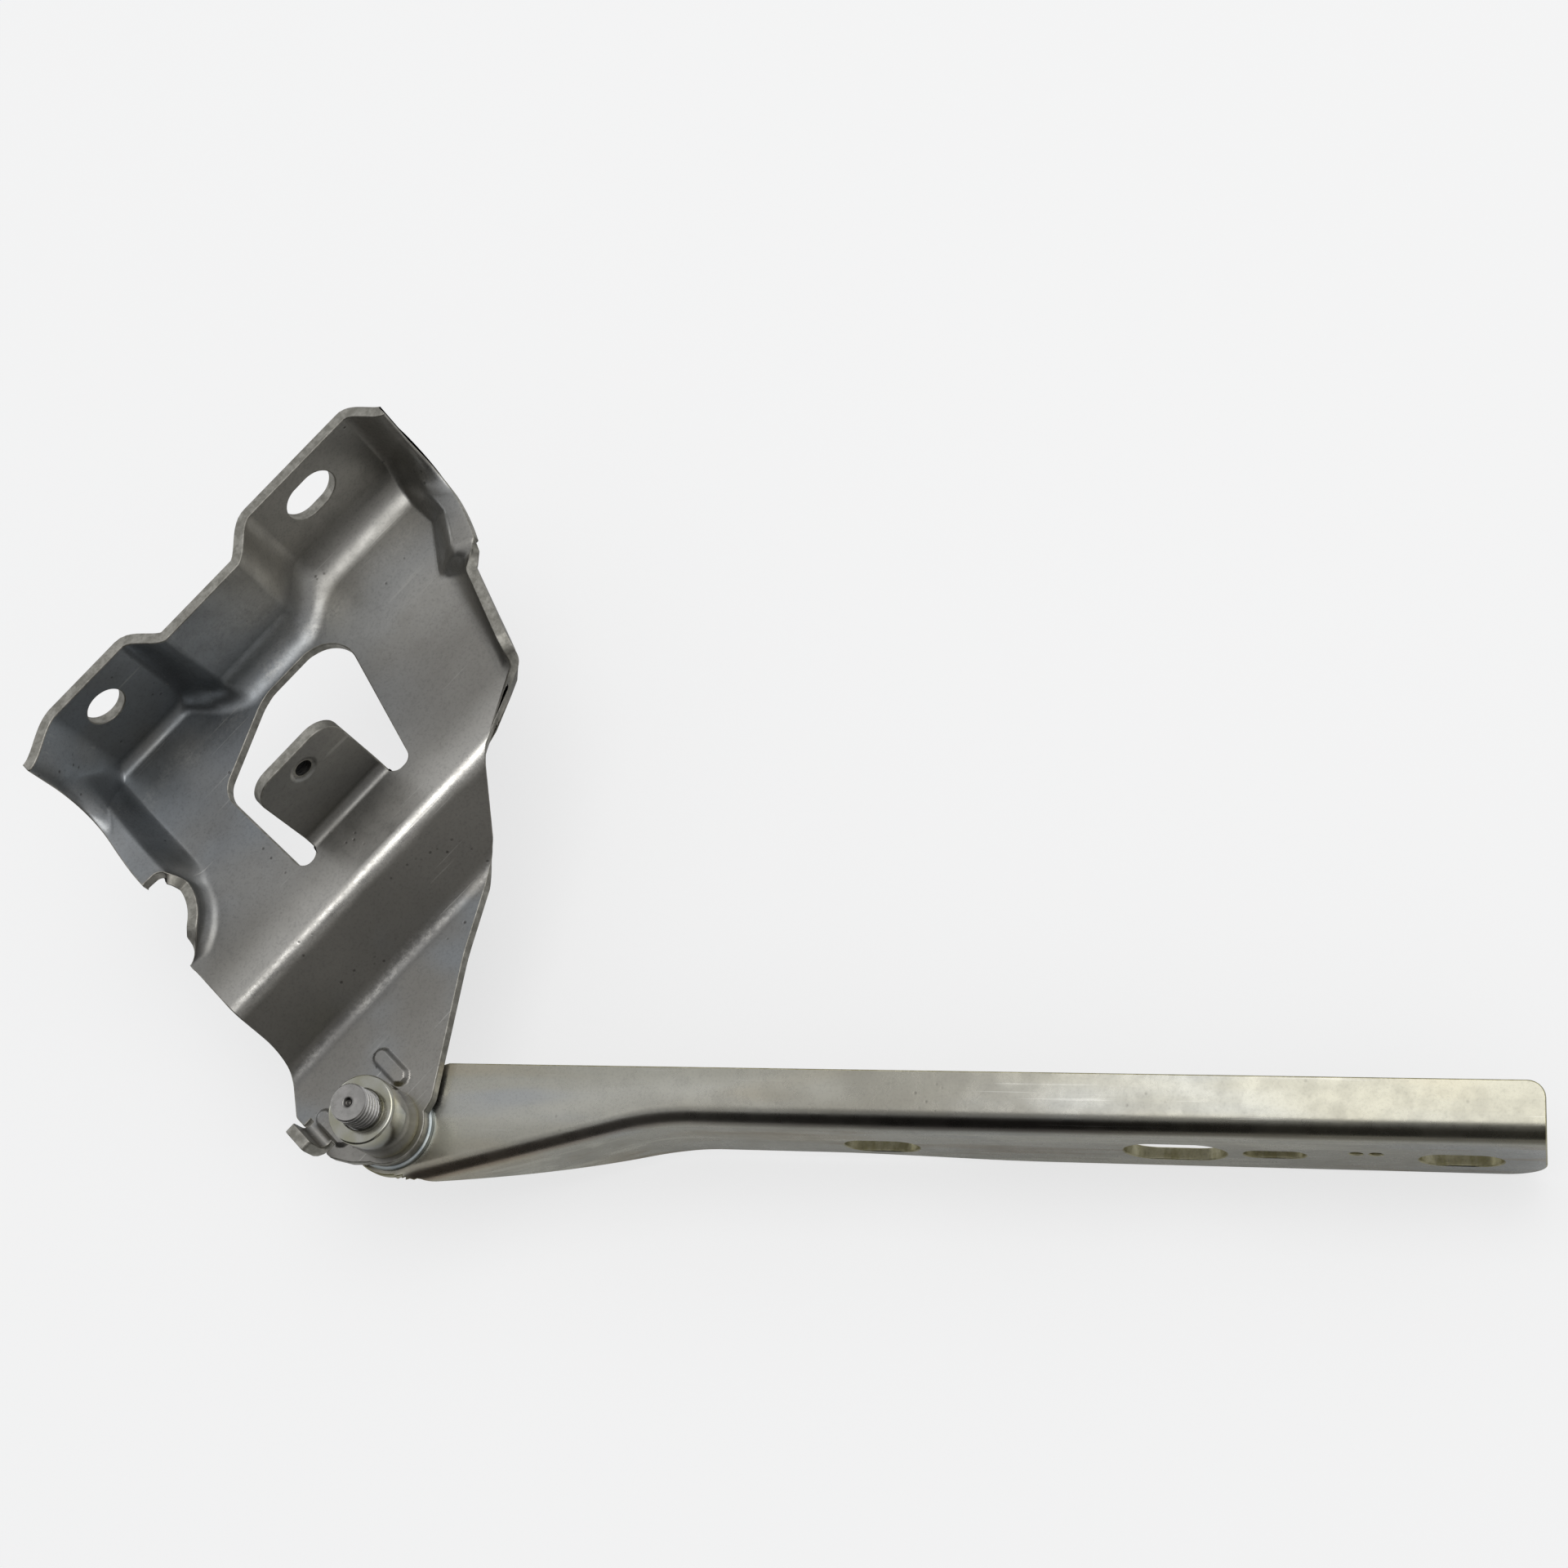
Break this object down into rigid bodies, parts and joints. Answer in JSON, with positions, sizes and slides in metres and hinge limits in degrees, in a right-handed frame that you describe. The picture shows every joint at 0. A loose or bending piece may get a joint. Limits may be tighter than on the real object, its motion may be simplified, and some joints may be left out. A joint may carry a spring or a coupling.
{
  "type": "hood hinge",
  "caption": "Pressed steel hood hinge: a cranked body bracket with a wavy flange and a lanced tab, pivoted on a flanged arm by a threaded stud with a spacer sleeve.",
  "frame": {"origin": "on the pivot axis, at the outer face of the spacer sleeve", "axes": "+Z along the threaded stud, away from the bracket; +X along the hood arm"},
  "size_m": [0.374, 0.1923, 0.0914],
  "materials": {
    "bracket_steel": "bare pressed steel, dull with worn bright ridges",
    "arm_zinc": "olive yellow zinc passivation, satin",
    "stud_steel": "turned steel",
    "sleeve_zinc": "yellow zinc, glossy",
    "bush": "blue-grey, thin coating",
    "washer_zinc": "zinc, satin"
  },
  "bodies": {
    "bracket": {"body_bracket": "bracket_steel", "pivot_bolt": "stud_steel", "spacer_sleeve": "sleeve_zinc", "rear_washer": "washer_zinc"},
    "arm": {"hood_arm": "arm_zinc", "pivot_bush": "bush"}
  },
  "joints": [
    {"name": "hood_pivot", "type": "hinge", "parent": "bracket", "child": "arm", "pos_m": [0, 0, 0], "axis": [0, 0, 1], "range_deg": [-20, 50]}
  ]
}
